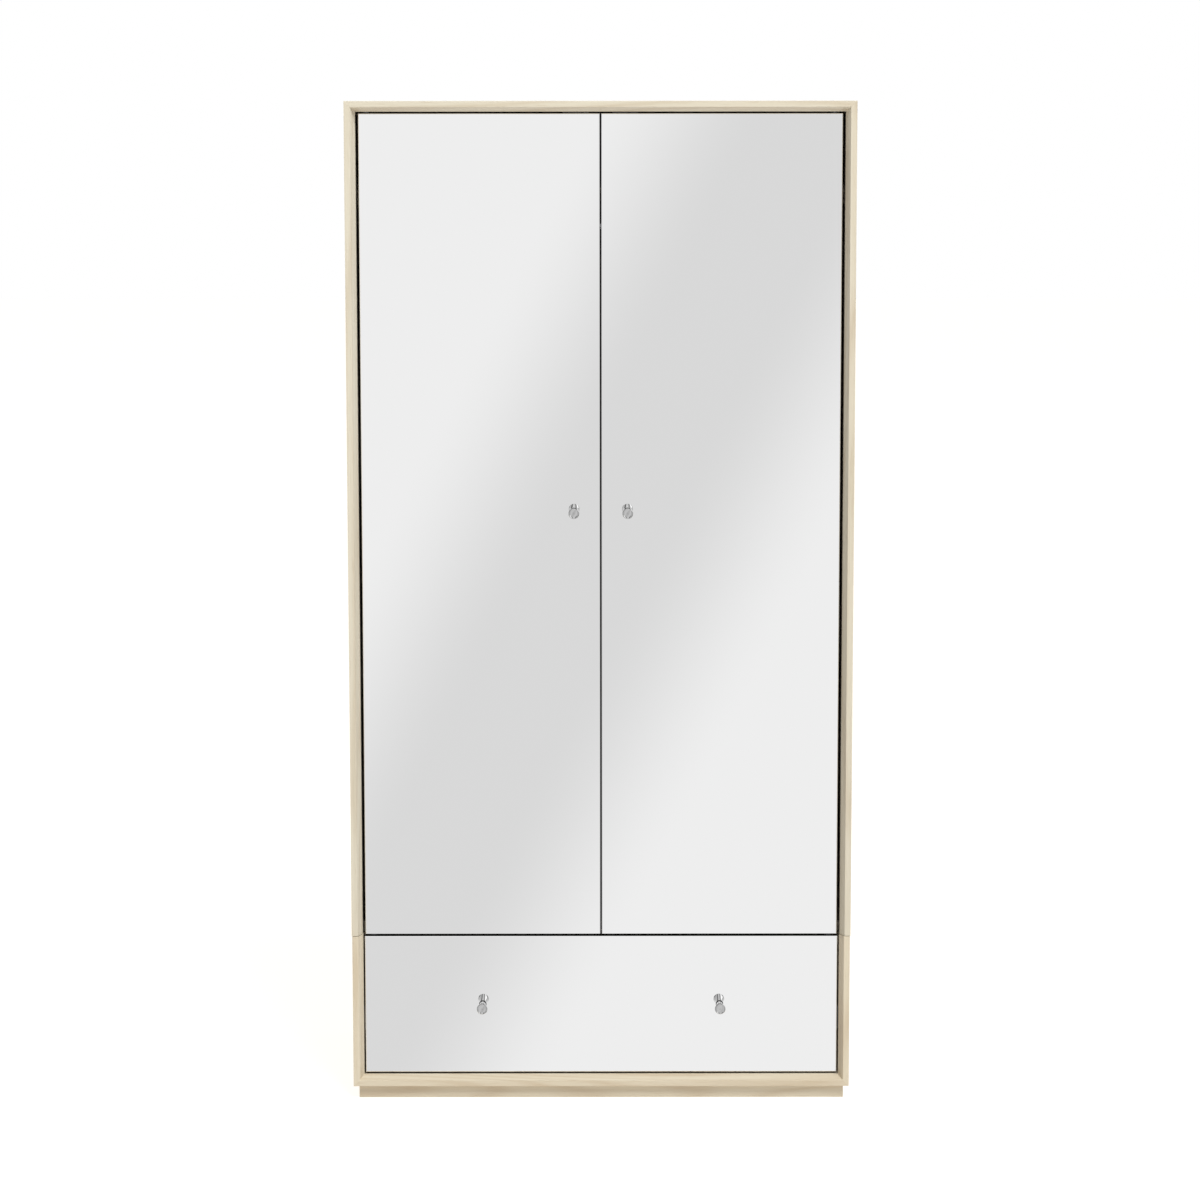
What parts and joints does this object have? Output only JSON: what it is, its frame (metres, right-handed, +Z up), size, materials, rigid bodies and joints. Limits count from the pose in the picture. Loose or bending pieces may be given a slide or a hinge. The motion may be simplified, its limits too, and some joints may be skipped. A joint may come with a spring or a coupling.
{
  "type": "armoire",
  "caption": "Tall freestanding armoire with mirrored swing doors over a full-width mirrored drawer in a pale bevelled wood frame.",
  "frame": {"origin": "on the floor, at the middle of the overall width and of the overall depth, knobs included", "axes": "+Z up; the doors and the drawer face -Y; +X is to the right of a person who faces the doors"},
  "size_m": [0.914, 0.529, 1.822],
  "materials": {
    "case_wood": "satin lacquered pale blond wood",
    "back_board": "satin veneered thin board",
    "front_board": "matte dark stained board",
    "drawer_wood": "satin birch",
    "mirror": "polished silvered glass",
    "knob_chrome": "polished",
    "rod_chrome": "polished",
    "steel": "zinc plated",
    "bush_nylon": "matte",
    "catch_plastic": "matte"
  },
  "bodies": {
    "case": {"upper_left_side": "case_wood", "upper_right_side": "case_wood", "upper_top": "case_wood", "deck": "case_wood", "upper_back": "back_board", "lower_left_side": "case_wood", "lower_right_side": "case_wood", "lower_bottom": "case_wood", "lower_top": "case_wood", "lower_back": "back_board", "plinth_front": "case_wood", "plinth_back": "case_wood", "plinth_left": "case_wood", "plinth_right": "case_wood", "left_joint_bolt": "steel", "right_joint_bolt": "steel", "hat_shelf": "case_wood", "left_shelf_cleat": "case_wood", "right_shelf_cleat": "case_wood", "hanging_rod": "rod_chrome", "left_rod_socket": "rod_chrome", "right_rod_socket": "rod_chrome", "left_catch": "catch_plastic", "right_catch": "catch_plastic", "left_top_hinge": "steel", "left_bottom_hinge": "steel", "right_top_hinge": "steel", "right_bottom_hinge": "steel", "left_case_slide": "steel", "right_case_slide": "steel"},
    "drawer": {"drawer_mirror": "mirror", "drawer_front_board": "front_board", "left_drawer_knob": "knob_chrome", "left_drawer_knob_screw": "steel", "right_drawer_knob": "knob_chrome", "right_drawer_knob_screw": "steel", "drawer_left_side": "drawer_wood", "drawer_right_side": "drawer_wood", "drawer_inner_front": "drawer_wood", "drawer_back": "drawer_wood", "drawer_bottom": "drawer_wood", "left_drawer_slide": "steel", "right_drawer_slide": "steel"},
    "left_slide_middle": {"left_middle_slide": "steel"},
    "right_slide_middle": {"right_middle_slide": "steel"},
    "left_door": {"left_door_mirror": "mirror", "left_door_board": "front_board", "left_door_knob": "knob_chrome", "left_door_knob_screw": "steel", "left_strike": "steel", "left_top_bush": "bush_nylon", "left_bottom_bush": "bush_nylon"},
    "right_door": {"right_door_mirror": "mirror", "right_door_board": "front_board", "right_door_knob": "knob_chrome", "right_door_knob_screw": "steel", "right_strike": "steel", "right_top_bush": "bush_nylon", "right_bottom_bush": "bush_nylon"}
  },
  "joints": [
    {"name": "left_door_swing", "type": "hinge", "parent": "case", "child": "left_door", "pos_m": [-0.4185, -0.213, 1], "axis": [0, 0, -1], "range_deg": [0, 110]},
    {"name": "right_door_swing", "type": "hinge", "parent": "case", "child": "right_door", "pos_m": [0.4185, -0.213, 1], "axis": [0, 0, 1], "range_deg": [0, 110]},
    {"name": "drawer_slide", "type": "slide", "parent": "case", "child": "drawer", "axis": [0, -1, 0], "range_m": [0, 0.43]},
    {"name": "left_slide_run", "type": "slide", "parent": "case", "child": "left_slide_middle", "axis": [0, -1, 0], "range_m": [0, 0.215]},
    {"name": "right_slide_run", "type": "slide", "parent": "case", "child": "right_slide_middle", "axis": [0, -1, 0], "range_m": [0, 0.215]}
  ],
  "couplings": [
    {"joint": "left_slide_run", "follows": "drawer_slide", "ratio": 0.5},
    {"joint": "right_slide_run", "follows": "drawer_slide", "ratio": 0.5}
  ]
}
